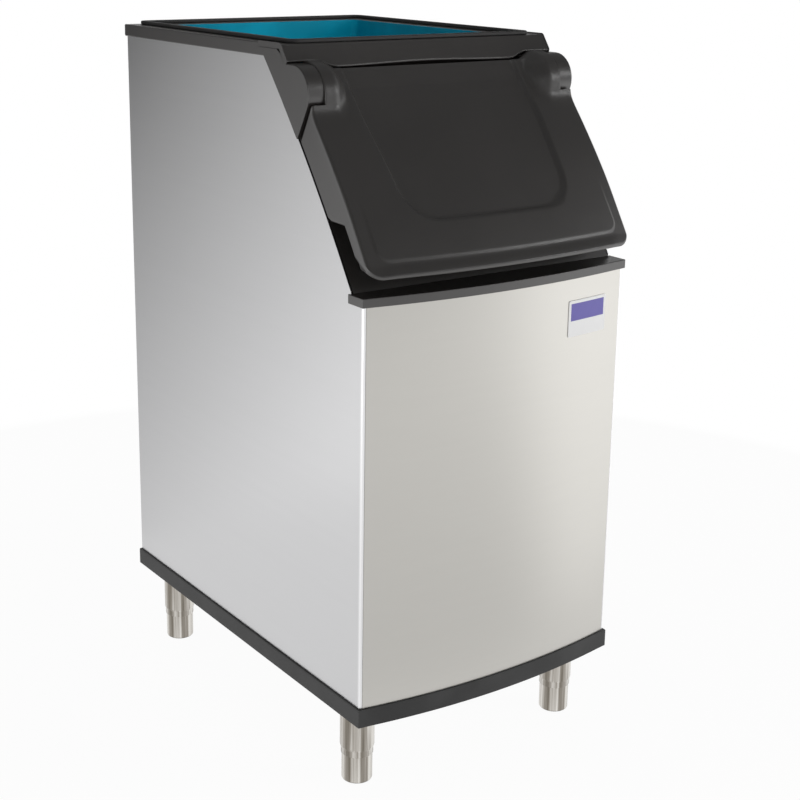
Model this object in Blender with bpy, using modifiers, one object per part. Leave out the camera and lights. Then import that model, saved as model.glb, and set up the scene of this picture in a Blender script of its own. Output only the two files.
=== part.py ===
# Ice storage bin that stands under a modular ice machine: an insulated steel cabinet with a
# moulded liner, a sloped lift-up door on two hinge barrels, and four screw-adjusted legs.
# Metres, +Z up, front towards -Y. Cabinet coordinates put y = 0 at the steel's front corners;
# one empty then centres the bin on its origin. The door's pieces are drawn flat as (x, s, n):
# s runs down the sloped front from its top corner, n stands out from it.
import bpy
import bmesh
from math import acos, atan2, cos, hypot, pi, sin, sqrt, tan
from mathutils import Matrix, Vector

# cabinet
overall_width = 0.559
overall_height = 1.270
cabinet_depth = 0.818
trim_overhang = 0.004
sheet = 0.001
gap = 0.0003
front_bow = 0.026
cut_reach = 0.060

# base and legs
leg_height = 0.152
base_height = 0.028
base_floor = 0.008
base_edge = 0.003
leg_inset_x = 0.0515
front_leg_y = 0.075
rear_leg_inset = 0.077
sleeve_radius = 0.0305
sleeve_foot_z = 0.047
sleeve_taper = 0.008
sleeve_wall = 0.0029
sleeve_bore_top = 0.108
foot_radius = 0.0273
foot_round = 0.004
foot_stem_top = 0.105
pad_radius = 0.0215
pad_height = 0.004
pad_stand = 0.001
stud_radius = 0.008
stud_height = 0.0235
plate_half = 0.035
plate_thickness = 0.003
nut_radius = 0.013
nut_height = 0.010

# top frame
gasket_height = 0.007
gasket_width = 0.012
gasket_inset = 0.0235
gasket_front_y = 0.246
gasket_rear_inset = 0.010
gasket_corner = 0.018
trim_height = 0.022
trim_edge = 0.0015
mouth_front_y = 0.3113
header_corner_y = 0.241
header_wall = 0.0055
header_round = 0.006
header_fall = 0.041
header_lean = 0.945
header_hem = 0.027
hem_dip = 0.010
hem_arch = 0.005

# sloped front
slope_top_y = 0.296
slope_foot_y = 0.0335
slope_crown = 0.0085
slope_drop = 0.3525
sill_height = 0.0185
sill_pocket = 0.010
sill_return = 0.038
sill_rear_y = 0.0485
panel_step = 0.002
bend_radius = 0.004
joggle = 0.0013
flange = 0.022
frame_depth = 0.020
frame_margin = 0.0036
frame_top_s = 0.055
frame_end_s = 0.475

# hinge
hinge_s = 0.099
hinge_n = 0.046
barrel_radius = 0.0445
ear_width = 0.0302
barrel_length = 0.023
shoulder_length = 0.042
barrel_root_radius = 0.022
ear_face = 0.0003
trough_radius = 0.048
trough_wall = 0.0045
pin_radius = 0.005
pin_seat = 0.022
bush_radius = 0.009
bush_length = 0.024
ear_tip_s = 0.164

# door
door_side_inset = 0.0035
door_depth = 0.064
door_crown = 0.008
crown_middle_s = 0.265
crown_half_s = 0.160
door_bow = 0.0245
bow_start_s = 0.140
bow_full_s = 0.430
door_seat = 0.0015
door_top_s = 0.050
door_end_radius = 0.036
door_split = 0.002
body_end_s = 0.4055
lip_end_s = 0.455
lip_back_n = 0.038
lip_flare = 0.003
lip_round = 0.017
lip_back_round = 0.008
crease_s = 0.418
door_corner = 0.028
recess_side = 0.092
recess_end_s = 0.372
recess_corner = 0.045
recess_depth = 0.007
recess_draft = 0.009
shell_wall = 0.0035
pocket_top_s = 0.143
pocket_depth = 0.053
notch_width = 0.031
notch_s = 0.319
notch_run = 0.023
notch_n = 0.0082
plate_n = 0.007
panel_thickness = 0.003
panel_top_s = 0.125
plug_depth = 0.015
opening_side = 0.0225
opening_top_s = 0.141
opening_end_s = 0.385
opening_corner = 0.030
plug_margin = 0.008
seal_width = 0.0115
seal_margin = 0.003

# liner and what hangs in it
liner_side = 0.0620
liner_wall = 0.003
liner_front_y = 0.049
liner_rear_inset = 0.058
liner_floor_front = 0.062
liner_floor_rear = 0.054
liner_floor_round = 0.035
liner_sump_round = 0.018
liner_corner = 0.016
liner_slope_n = 0.0204
deflector_side = 0.0195
deflector_sheet = 0.002
deflector_top = 0.011
deflector_fall = 0.060
deflector_drop = 0.190
deflector_kick = 0.020
thumb_inset = 0.078
thumb_z = 0.028
thumb_radius = 0.009
thumb_height = 0.008
thumb_shank = 0.003
thumb_reach = 0.012

# drain
drain_radius = 0.014
drain_bore = 0.0105
drain_flange = 0.019
drain_flange_thickness = 0.004
drain_nut_radius = 0.021
strainer_thickness = 0.002
strainer_hole = 0.0021
strainer_ring = 0.0068

bow_steps = 24
arc_steps = 6
turn_steps = 28
slope_steps = 14

# sizes worked out from the ones above
half_width = overall_width / 2
steel_half = half_width - trim_overhang
steel_rear = cabinet_depth - trim_overhang
base_top = leg_height + base_height
tray_floor = leg_height + base_floor
trim_top = overall_height - gasket_height
steel_top = trim_top - trim_height
sill_top = steel_top - slope_drop
sill_z = sill_top - sill_height
panel_top = sill_z + sill_pocket - gap
barrel_end = half_width - ear_width - gap
barrel_shoulder = barrel_end - barrel_length
barrel_root = barrel_shoulder - shoulder_length
door_half = half_width - door_side_inset
recess_half = door_half - recess_side
notch_x = door_half - notch_width
rear_leg_y = cabinet_depth - rear_leg_inset
leg_x = half_width - leg_inset_x
liner_half = half_width - liner_side
opening_half = liner_half - opening_side
deflector_half = liner_half - deflector_side
thumb_x = deflector_half - thumb_inset
liner_rear = cabinet_depth - liner_rear_inset
drain_z = leg_height + liner_floor_rear + liner_sump_round + drain_flange + sheet
frame_half = steel_half - frame_margin
slope_run = Vector((slope_foot_y - slope_top_y, sill_top - steel_top))
slope_length = slope_run.length
down = slope_run.normalized()
out = Vector((down.y, -down.x))
slope_rim_y = slope_foot_y + panel_step


def flat_slope(s, n):
    """Cabinet (y, z) of a point s down the slope's chord and n out from it."""
    return (slope_top_y + down.x * s + out.x * n, steel_top + down.y * s + out.y * n)


hinge_y, hinge_z = flat_slope(hinge_s, hinge_n)


def bump(value, middle, half):
    return max(0.0, 1 - ((value - middle) / half) ** 2)


def ramp(value, low, high):
    return min(1.0, max(0.0, (value - low) / (high - low)))


def edge_crown(s):
    """How far the steel's sloped edge stands out from its chord."""
    return slope_crown * bump(s, slope_length / 2, slope_length / 2)


def shaped_slope(x, s, n):
    """The crowned, bowed place of a point drawn flat on the slope."""
    outer = ramp(n, plate_n + panel_thickness, door_depth)
    near_edge = ramp(n, -frame_depth, 0)
    crowned = n + (1 - outer) * near_edge * edge_crown(s)
    crowned += outer * door_crown * bump(s, crown_middle_s, crown_half_s)
    y, z = flat_slope(s, crowned)
    lift = ramp(n, plate_n + panel_thickness, lip_back_n) * ramp(s, bow_start_s, bow_full_s)
    return Vector((x, y - door_bow * bump(x, 0, door_half) * lift, z))


def front_bulge(x):
    """How far the bowed front stands ahead of the straight line between its corners."""
    return front_bow * bump(x, 0, steel_half)


def steps(low, high, count):
    return [low + (high - low) * i / count for i in range(count + 1)]


def filleted(corners):
    """A closed outline from (u, v, radius) corners, each rounded by an arc."""
    outline = []
    for i, (u, v, radius) in enumerate(corners):
        here = Vector((u, v))
        if radius == 0:
            outline.append((u, v))
            continue
        before = (Vector(corners[i - 1][:2]) - here).normalized()
        after = (Vector(corners[(i + 1) % len(corners)][:2]) - here).normalized()
        half_angle = acos(max(-1, min(1, before.dot(after)))) / 2
        centre = here + (before + after).normalized() * (radius / sin(half_angle))
        start = here + before * (radius / tan(half_angle)) - centre
        finish = here + after * (radius / tan(half_angle)) - centre
        turn = atan2(start.x * finish.y - start.y * finish.x, start.dot(finish))
        for k in range(arc_steps + 1):
            angle = turn * k / arc_steps
            spoke = (start.x * cos(angle) - start.y * sin(angle), start.x * sin(angle) + start.y * cos(angle))
            outline.append((centre.x + spoke[0], centre.y + spoke[1]))
    return outline


def box_outline(left, right, low, high, radius=0):
    return filleted([(left, low, radius), (right, low, radius), (right, high, radius), (left, high, radius)])


def arc(centre, radius, start, finish, count):
    """Points on a circle between two angles, in radians."""
    angles = steps(start, finish, count)
    return [(centre[0] + radius * cos(a), centre[1] + radius * sin(a)) for a in angles]


# scene, collections and materials
for old in list(bpy.data.objects):
    bpy.data.objects.remove(old, do_unlink=True)
parts = bpy.data.collections.new("ice_storage_bin")
cutters = bpy.data.collections.new("cutters")
bpy.context.scene.collection.children.link(parts)
bpy.context.scene.collection.children.link(cutters)


def finish(name, colour, roughness, metallic):
    material = bpy.data.materials.new(name)
    material.use_nodes = True
    shader = material.node_tree.nodes["Principled BSDF"]
    shader.inputs["Base Color"].default_value = (*colour, 1)
    shader.inputs["Roughness"].default_value = roughness
    shader.inputs["Metallic"].default_value = metallic
    material.diffuse_color = (*colour, 1)
    return material


stainless = finish("stainless", (0.62, 0.61, 0.60), 0.32, 1.0)
zinc = finish("zinc_plate", (0.55, 0.56, 0.58), 0.45, 1.0)
charcoal = finish("charcoal_plastic", (0.045, 0.042, 0.040), 0.45, 0.0)
base_plastic = finish("base_plastic", (0.06, 0.06, 0.062), 0.5, 0.0)
blue_plastic = finish("liner_blue", (0.0, 0.22, 0.36), 0.4, 0.0)
rubber = finish("black_rubber", (0.02, 0.02, 0.02), 0.7, 0.0)
foam = finish("insulation", (0.75, 0.66, 0.42), 0.9, 0.0)
white_plastic = finish("white_plastic", (0.75, 0.75, 0.74), 0.45, 0.0)


def place(piece, parent):
    """Hang a piece drawn in cabinet coordinates on an empty, keeping where it is drawn."""
    anchor = Vector(parent["anchor"])
    piece.data.transform(Matrix.Translation(-anchor) if piece.location.length == 0 else Matrix())
    if piece.location.length > 0:
        piece.location -= anchor
    piece.parent = parent


def empty(name, anchor, parent=None):
    marker = bpy.data.objects.new(name, None)
    marker["anchor"] = anchor
    marker.location = Vector(anchor) - Vector(parent["anchor"]) if parent else Vector((0, 0, 0))
    marker.parent = parent
    parts.objects.link(marker)
    return marker


cabinet = empty("cabinet_origin", (0, 0, 0))
door_axis = empty("door_axis", (0, hinge_y, hinge_z), cabinet)


def face_outwards(bm):
    bmesh.ops.recalc_face_normals(bm, faces=bm.faces)
    if bm.calc_volume(signed=True) < 0:
        bmesh.ops.reverse_faces(bm, faces=bm.faces)


def to_object(name, bm, material, parent):
    if not any(edge.is_boundary for edge in bm.edges):
        face_outwards(bm)
    mesh = bpy.data.meshes.new(name)
    bm.to_mesh(mesh)
    bm.free()
    piece = bpy.data.objects.new(name, mesh)
    if material:
        mesh.materials.append(material)
        parts.objects.link(piece)
    else:
        cutters.objects.link(piece)
        piece.display_type = "WIRE"
        piece.hide_render = True
    place(piece, parent)
    mesh.shade_smooth()
    mesh.set_sharp_from_angle(angle=pi / 6)
    return piece


def prism(outline, axis, low, high, bm=None):
    """Extrude a closed outline along X, Y or Z; its two numbers are the other axes in order."""
    bm = bm or bmesh.new()
    seat = {"X": lambda u, v: (low, u, v), "Y": lambda u, v: (u, low, v), "Z": lambda u, v: (u, v, low)}[axis]
    verts = [bm.verts.new(seat(u, v)) for u, v in outline]
    face = bm.faces.new(verts)
    grown = bmesh.ops.extrude_face_region(bm, geom=[face])["geom"]
    shift = Vector([high - low if axis == name else 0 for name in "XYZ"])
    moved = [item for item in grown if isinstance(item, bmesh.types.BMVert)]
    bmesh.ops.translate(bm, verts=moved, vec=shift)
    return bm


def soften(bm, keep, radius, segments=2):
    """Round the edges that a rule picks."""
    bm.normal_update()
    edges = [edge for edge in bm.edges if keep(edge)]
    bmesh.ops.bevel(bm, geom=edges, offset=radius, segments=segments, profile=0.5, affect="EDGES")


def corner_edges(axis, level, fold=pi / 5):
    """A rule for the sharp edges that lie in one plane square to an axis."""
    index = "XYZ".index(axis)
    near = gap / 3

    def rule(edge):
        flat = all(abs(v.co[index] - level) < near for v in edge.verts)
        return flat and len(edge.link_faces) == 2 and edge.calc_face_angle(0) > fold
    return rule


def slice_mesh(bm, axis, places):
    """Add cross cuts so that a long face can follow a curve."""
    normal = Vector([1.0 if axis == name else 0.0 for name in "XYZ"])
    for level in places:
        geometry = list(bm.verts) + list(bm.edges) + list(bm.faces)
        bmesh.ops.bisect_plane(bm, geom=geometry, plane_co=normal * level, plane_no=normal, dist=gap / 30)


def bow(bm, reach):
    """Push everything ahead of a depth out along the front's bow."""
    for vert in bm.verts:
        if vert.co.y < reach:
            vert.co.y -= front_bulge(vert.co.x)


def on_slope(bm, curved=True):
    """Move a mesh drawn as (x, s, n) to its place on the sloped front."""
    for vert in bm.verts:
        x, s, n = vert.co
        vert.co = shaped_slope(x, s, n) if curved else Vector((x, *flat_slope(s, n)))


def boolean(piece, other, operation):
    step = piece.modifiers.new(other.name, "BOOLEAN")
    step.operation = operation
    step.object = other
    step.solver = "EXACT"


def cut(piece, *others):
    for other in others:
        boolean(piece, other, "DIFFERENCE")


def join(piece, *others):
    for other in others:
        boolean(piece, other, "UNION")


def sheet_wall(name, path, low, high, inside, thickness, material, parent):
    """A bent sheet: an open plan path carried up, then given its thickness inwards."""
    bm = bmesh.new()
    verts = [bm.verts.new((x, y, low)) for x, y in path]
    edges = [bm.edges.new(pair) for pair in zip(verts, verts[1:])]
    grown = bmesh.ops.extrude_edge_only(bm, edges=edges)["geom"]
    lifted = [item for item in grown if isinstance(item, bmesh.types.BMVert)]
    bmesh.ops.translate(bm, verts=lifted, vec=(0, 0, high - low))
    bm.normal_update()
    widest = max(bm.faces, key=lambda face: face.calc_area())
    if widest.normal.dot(widest.calc_center_median() - Vector(inside)) < 0:
        bmesh.ops.reverse_faces(bm, faces=bm.faces)
    mesh = bpy.data.meshes.new(name)
    bm.to_mesh(mesh)
    bm.free()
    piece = bpy.data.objects.new(name, mesh)
    mesh.materials.append(material)
    parts.objects.link(piece)
    place(piece, parent)
    solid = piece.modifiers.new("thickness", "SOLIDIFY")
    solid.thickness = thickness
    solid.offset = -1
    solid.use_even_offset = True
    return piece


def turned(name, profile, material, parent, location, rotation=(0, 0, 0), count=turn_steps):
    """Spin a profile of (radius, height) points, given down its outer side, about an axis."""
    mesh = bpy.data.meshes.new(name)
    points = [(radius, 0, height) for radius, height in profile]
    mesh.from_pydata(points, [(i, i + 1) for i in range(len(points) - 1)], [])
    piece = bpy.data.objects.new(name, mesh)
    if material:
        mesh.materials.append(material)
        parts.objects.link(piece)
    else:
        cutters.objects.link(piece)
        piece.display_type = "WIRE"
        piece.hide_render = True
    piece.location = location
    piece.rotation_euler = rotation
    piece.location -= Vector(parent["anchor"])
    piece.parent = parent
    spin = piece.modifiers.new("turn", "SCREW")
    spin.steps = count
    spin.render_steps = count
    spin.use_merge_vertices = True
    spin.merge_threshold = gap / 6
    spin.use_smooth_shade = True
    return piece


def rod(radius, low, high):
    """A plain round profile."""
    return [(0, high), (radius, high), (radius, low), (0, low)]


along_x = (0, pi / 2, 0)
along_y = (-pi / 2, 0, 0)


def bowed_plan(half, front, rear):
    """A plan outline with the bowed front: half its width, and its front and rear places."""
    nose = [(x, front - front_bulge(x)) for x in steps(-half, half, bow_steps)]
    return nose + [(half, rear), (-half, rear)]


def base_tray():
    bm = prism(bowed_plan(half_width, -trim_overhang, cabinet_depth), "Z", leg_height, base_top)
    soften(bm, corner_edges("Z", base_top), base_edge)
    tray = to_object("base_tray", bm, base_plastic, cabinet)
    pocket = prism(bowed_plan(steel_half + gap, -gap, steel_rear + gap), "Z", tray_floor, base_top + cut_reach)
    cut(tray, to_object("cut_tray_pocket", pocket, None, cabinet))
    for name, x, y in leg_places():
        hole = rod(stud_radius + gap, leg_height - cut_reach, tray_floor + cut_reach)
        cut(tray, turned("cut_stud_" + name, hole, None, cabinet, Vector((x, y, 0))))


def leg_places():
    return [("front_left", -leg_x, front_leg_y), ("front_right", leg_x, front_leg_y),
            ("rear_left", -leg_x, rear_leg_y), ("rear_right", leg_x, rear_leg_y)]


def slope_cutter():
    """Everything ahead of and above the side panels' sloped edge."""
    last = (slope_top_y - slope_rim_y) / -down.x
    edge = [flat_slope(s, edge_crown(s)) for s in steps(last, 0, slope_steps)]
    high = steel_top + cut_reach
    outline = [(-cut_reach, panel_top), (edge[0][0], panel_top)] + edge + [(slope_top_y, high), (-cut_reach, high)]
    return to_object("cut_slope", prism(outline, "X", -half_width - cut_reach, half_width + cut_reach), None, cabinet)


def side_panel(name, side, slope_cut):
    """One side: a sheet bent inwards at the rear and folded behind the front panel."""
    edge_x = steel_half
    fold = arc((steel_half - bend_radius, bend_radius), bend_radius, 0, -pi / 2, 3)
    tuck = sheet + gap
    inner = steel_half - bend_radius - joggle
    path = [(edge_x - flange, steel_rear), (edge_x, steel_rear)] + fold
    path = path + [(inner, tuck), (edge_x - flange, tuck)]
    bent = [(side * x, y - front_bulge(x) if y < bend_radius else y) for x, y in path]
    high = steel_top - gap
    panel = sheet_wall(name, bent, tray_floor + gap, high, (0, cabinet_depth / 2, high), sheet, stainless, cabinet)
    cut(panel, slope_cut)


def front_panel():
    half = steel_half - bend_radius - joggle - gap
    path = [(x, -front_bulge(x)) for x in steps(-half, half, bow_steps)]
    middle = (0, cabinet_depth, sill_z)
    sheet_wall("front_panel", path, tray_floor + gap, panel_top, middle, sheet, stainless, cabinet)


def rear_panel():
    half = steel_half - sheet - gap
    face = steel_rear - sheet - gap
    outline = box_outline(-half, half, tray_floor + gap, steel_top - gap)
    panel = to_object("rear_panel", prism(outline, "Y", face - sheet, face), zinc, cabinet)
    cut(panel, drain_cutter)


def liner_outline(grow=0, slope_grow=0, rise=0):
    """The tub's side outline: front wall, sloped wall, mouth, rear wall and falling floor."""
    front = liner_front_y - grow
    head = mouth_front_y - grow
    top = trim_top + rise
    rear = liner_rear + grow
    n = -liner_slope_n + grow + slope_grow
    low_s = (slope_top_y + out.x * n - front) / -down.x
    high_s = (slope_top_y + out.x * n - head) / -down.x
    low = leg_height - grow
    return filleted([
        (front, low + liner_floor_front, liner_floor_round),
        (*flat_slope(low_s, n), 0),
        (*flat_slope(high_s, n), 0),
        (head, top, 0),
        (rear, top, 0),
        (rear, low + liner_floor_rear, liner_sump_round)])


def liner():
    bm = prism(liner_outline(), "X", -liner_half, liner_half)
    for side in (-liner_half, liner_half):
        soften(bm, lambda edge: upright_edge(edge, side), liner_corner, 3)
    face_outwards(bm)
    mouth = [f for f in bm.faces if f.normal.z > cos(pi / 12) and f.calc_center_median().z > steel_top]
    bmesh.ops.delete(bm, geom=mouth, context="FACES")
    tub = to_object("liner", bm, blue_plastic, cabinet)
    wall = tub.modifiers.new("wall", "SOLIDIFY")
    wall.thickness = liner_wall
    wall.offset = -1
    wall.use_even_offset = True
    cut(tub, opening_cutter, drain_cutter, thumb_cutter)


def upright_edge(edge, side):
    """The tub's vertical and floor edges on one side, below its sloped wall or at its rear."""
    near = gap / 3
    if any(abs(v.co.x - side) > near for v in edge.verts):
        return False
    ys = [v.co.y for v in edge.verts]
    zs = [v.co.z for v in edge.verts]
    return max(zs) < sill_top or min(ys) > liner_rear - near


def foam_jacket():
    """The foamed filling between the steel and the tub."""
    front = bend_radius + gap
    rear = steel_rear - 2 * (sheet + gap)
    high = steel_top - gap
    n = -frame_depth - 2 * gap
    foot_s = (steel_top + out.y * n - panel_top) / -down.y
    top_s = (steel_top + out.y * n - high) / -down.y
    low = tray_floor + gap
    outline = [(front, low), (front, panel_top), flat_slope(foot_s, n), flat_slope(top_s, n), (rear, high), (rear, low)]
    half = steel_half - sheet - gap
    bm = prism(outline, "X", -half, half)
    slice_mesh(bm, "X", steps(-half, half, bow_steps)[1:-1])
    bow(bm, front + gap)
    jacket = to_object("foam_jacket", bm, foam, cabinet)
    hollow = prism(liner_outline(gap, panel_step, cut_reach), "X", -liner_half - gap, liner_half + gap)
    cut(jacket, to_object("cut_tub_room", hollow, None, cabinet))
    duct = box_outline(-drain_nut_radius, drain_nut_radius, drain_z - drain_nut_radius, drain_z + drain_nut_radius)
    cut(jacket, to_object("cut_duct", prism(duct, "Y", liner_rear - cut_reach, cabinet_depth), None, cabinet))
    rooms = bmesh.new()
    for name, x, y in leg_places():
        side = plate_half + gap
        top = leg_height + stud_height + gap
        prism(box_outline(x - side, x + side, y - side, y + side), "Z", leg_height, top, rooms)
    cut(jacket, to_object("cut_plate_rooms", rooms, None, cabinet))


def header_points():
    """Outer face of the header in (y, z): rear edge, corner, and the foot of its leaning face."""
    foot = (header_corner_y - header_fall * cos(header_lean), trim_top - header_fall * sin(header_lean))
    return (mouth_front_y - gap, trim_top), (header_corner_y, trim_top), foot


def header_inner(offset):
    """The header's corner and foot line moved inwards by an offset."""
    _, corner, foot = header_points()
    half_turn = (pi - header_lean) / 2
    run = offset / tan(half_turn)
    inner_corner = (corner[0] + run, corner[1] - offset)
    inner_foot = (foot[0] + offset * sin(header_lean), foot[1] - offset * cos(header_lean))
    return inner_corner, inner_foot


def hem_height(x):
    """Height of the header's lower edge: clear of the barrels, dipping, then arched."""
    a = abs(x)
    if a > barrel_root:
        share = ramp(a, barrel_root, barrel_shoulder)
        return trim_top - header_hem - hem_dip * (1 + cos(pi * share)) / 2
    return trim_top - header_hem - hem_dip + hem_arch * (1 + cos(pi * a / barrel_root)) / 2


def header():
    rear, corner, foot = header_points()
    inner_corner, inner_foot = header_inner(header_wall)
    outline = filleted([(*rear, 0), (*corner, header_round), (*foot, 0), (*inner_foot, 0), (*inner_corner, 0),
                        (rear[0], trim_top - header_wall, 0)])
    cap = to_object("header", prism(outline, "X", -half_width, half_width), charcoal, cabinet)
    wave = [(x, hem_height(x)) for x in steps(-half_width - cut_reach, half_width + cut_reach, 2 * bow_steps)]
    low = steel_top - cut_reach
    below = [(half_width + cut_reach, low), (-half_width - cut_reach, low)]
    cap_cut = prism(wave + below, "Y", slope_foot_y, header_corner_y)
    cut(cap, to_object("cut_hem", cap_cut, None, cabinet))


def ear_tangent():
    """Angle round the hinge, in (s, n), where the line up from the trim's tip meets the ear."""
    tip = Vector((ear_tip_s - hinge_s, edge_crown(ear_tip_s) - hinge_n))
    return atan2(tip.y, tip.x) + acos(barrel_radius / tip.length)


def top_trim(name, side):
    """A side rail of the top frame, with the cheek and hinge ear below its front end."""
    slope_edge = [flat_slope(s, edge_crown(s) + gap) for s in steps(0, ear_tip_s, slope_steps // 2)]
    up = atan2(out.y, down.y)
    ear = [flat_slope(s, n) for s, n in arc((hinge_s, hinge_n), barrel_radius, ear_tangent(), up, 2 * arc_steps)]
    under_corner, under_foot = header_inner(header_wall + gap)
    level = ear[-1][1]
    share = (level - under_foot[1]) / (under_corner[1] - under_foot[1])
    tuck = (under_foot[0] + share * (under_corner[0] - under_foot[0]), level)
    step = [tuck, under_corner, (mouth_front_y, under_corner[1]), (mouth_front_y, trim_top)]
    outline = [(cabinet_depth, steel_top)] + slope_edge + ear + step + [(cabinet_depth, trim_top)]
    inner = liner_half + gap
    bm = prism(outline, "X", side * inner, side * half_width)
    soften(bm, corner_edges("X", side * half_width, -1), trim_edge, 1)
    rail = to_object(name, bm, charcoal, cabinet)
    room = box_outline(-cut_reach, mouth_front_y, sill_z, overall_height + cut_reach)
    ear_inner = barrel_end + ear_face
    clear = to_object("cut_" + name, prism(room, "X", 0, side * ear_inner), None, cabinet)
    bore = rod(pin_radius + gap, 0, ear_inner + pin_seat + gap)
    place_at = Vector((0, hinge_y, hinge_z))
    spin = (0, side * pi / 2, 0)
    cut(rail, clear, turned("cut_pin_" + name, bore, None, cabinet, place_at, spin))


def rear_trim():
    outline = box_outline(liner_rear + gap, cabinet_depth, steel_top, trim_top)
    bm = prism(outline, "X", -liner_half, liner_half)
    to_object("rear_top_trim", bm, charcoal, cabinet)


def rim_gasket():
    half = half_width - gasket_inset
    rear = cabinet_depth - gasket_rear_inset
    ring = box_outline(-half, half, gasket_front_y, rear, gasket_corner)
    bm = prism(ring, "Z", trim_top + gap, overall_height)
    seal = to_object("rim_gasket", bm, rubber, cabinet)
    inner = half - gasket_width
    radius = gasket_corner - gasket_width
    hole = box_outline(-inner, inner, gasket_front_y + gasket_width, rear - gasket_width, radius)
    cut(seal, to_object("cut_gasket", prism(hole, "Z", steel_top, overall_height + cut_reach), None, cabinet))


def sill_band():
    """The band across the front's top, wrapped a little way round each side."""
    nose = [(x, -trim_overhang - front_bulge(x)) for x in steps(-half_width, half_width, bow_steps)]
    wing = steel_half + gap
    tail = frame_half
    right = [(half_width, sill_return), (wing, sill_return), (wing, slope_rim_y - gap), (tail, slope_rim_y - gap),
             (tail, sill_rear_y)]
    left = [(-x, y) for x, y in reversed(right)]
    bm = prism(nose + right + left, "Z", sill_z, sill_top)
    band = to_object("sill_band", bm, charcoal, cabinet)
    room = bowed_plan(wing, -gap, cabinet_depth)
    pocket = prism(room, "Z", sill_z - cut_reach, panel_top + gap)
    cut(band, to_object("cut_sill_pocket", pocket, None, cabinet))


def door_frame():
    """The moulded surround that the door shuts on, with the hinge trough along its top."""
    bm = prism(box_outline(-frame_half, frame_half, frame_top_s, frame_end_s), "Z", -frame_depth, 0)
    slice_mesh(bm, "Y", steps(frame_top_s, frame_end_s, slope_steps)[1:-1])
    on_slope(bm)
    foot = Vector((0, 0, sill_top + gap))
    geometry = list(bm.verts) + list(bm.edges) + list(bm.faces)
    bmesh.ops.bisect_plane(bm, geom=geometry, plane_co=foot, plane_no=Vector((0, 0, 1)), clear_inner=True)
    bmesh.ops.holes_fill(bm, edges=[edge for edge in bm.edges if edge.is_boundary])
    frame = to_object("door_frame", bm, charcoal, cabinet)
    centre = (hinge_s, hinge_n)
    start, finish_angle = pi, pi * 1.39
    inner = arc(centre, trough_radius, start, finish_angle, arc_steps)
    outer = arc(centre, trough_radius + trough_wall, finish_angle, start, arc_steps)
    wall = prism([flat_slope(s, n) for s, n in inner + outer], "X", -barrel_end, barrel_end)
    join(frame, to_object("add_trough_wall", wall, None, cabinet))
    groove = rod(trough_radius, -barrel_end, barrel_end)
    place_at = Vector((0, hinge_y, hinge_z))
    cut(frame, turned("cut_groove", groove, None, cabinet, place_at, along_x), opening_cutter)


def door_side_outline():
    """The door's side outline as flat (s, n): back, finger lip, rounded nose, flared face."""
    return filleted([
        (door_top_s, door_seat, 0),
        (body_end_s, door_seat, 0),
        (body_end_s, lip_back_n, 0),
        (lip_end_s, lip_back_n, lip_back_round),
        (lip_end_s, door_depth + lip_flare, lip_round),
        (crease_s, door_depth, 0),
        (door_top_s, door_depth, 0)])


def pocket_outline(margin, top_s):
    """The room inside the door shell as (x, s): in between the ears, wide, then in past the notches."""
    between = barrel_end - shell_wall - margin
    wide = door_half - shell_wall - margin
    narrow = notch_x - shell_wall - margin
    ear_s = ear_tip_s + door_split + 2 * shell_wall + margin
    step_s = notch_s - shell_wall - margin
    low_s = body_end_s - shell_wall - margin
    half = [(between, top_s + margin), (between, ear_s), (wide, ear_s), (wide, step_s), (narrow, step_s), (narrow, low_s)]
    return half + [(-x, s) for x, s in reversed(half)]


def slope_prism(outline, low, high, bowed=False):
    """An (x, s) outline made solid between two heights, cut to follow the door's curves."""
    bm = prism(outline, "Z", low, high)
    if bowed:
        slice_mesh(bm, "X", steps(-door_half, door_half, bow_steps // 2)[1:-1] + [x for x, s in outline])
        slice_mesh(bm, "Y", [s for x, s in outline])
    slice_mesh(bm, "Y", steps(0, lip_end_s, slope_steps)[1:-1])
    on_slope(bm)
    return bm


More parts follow.
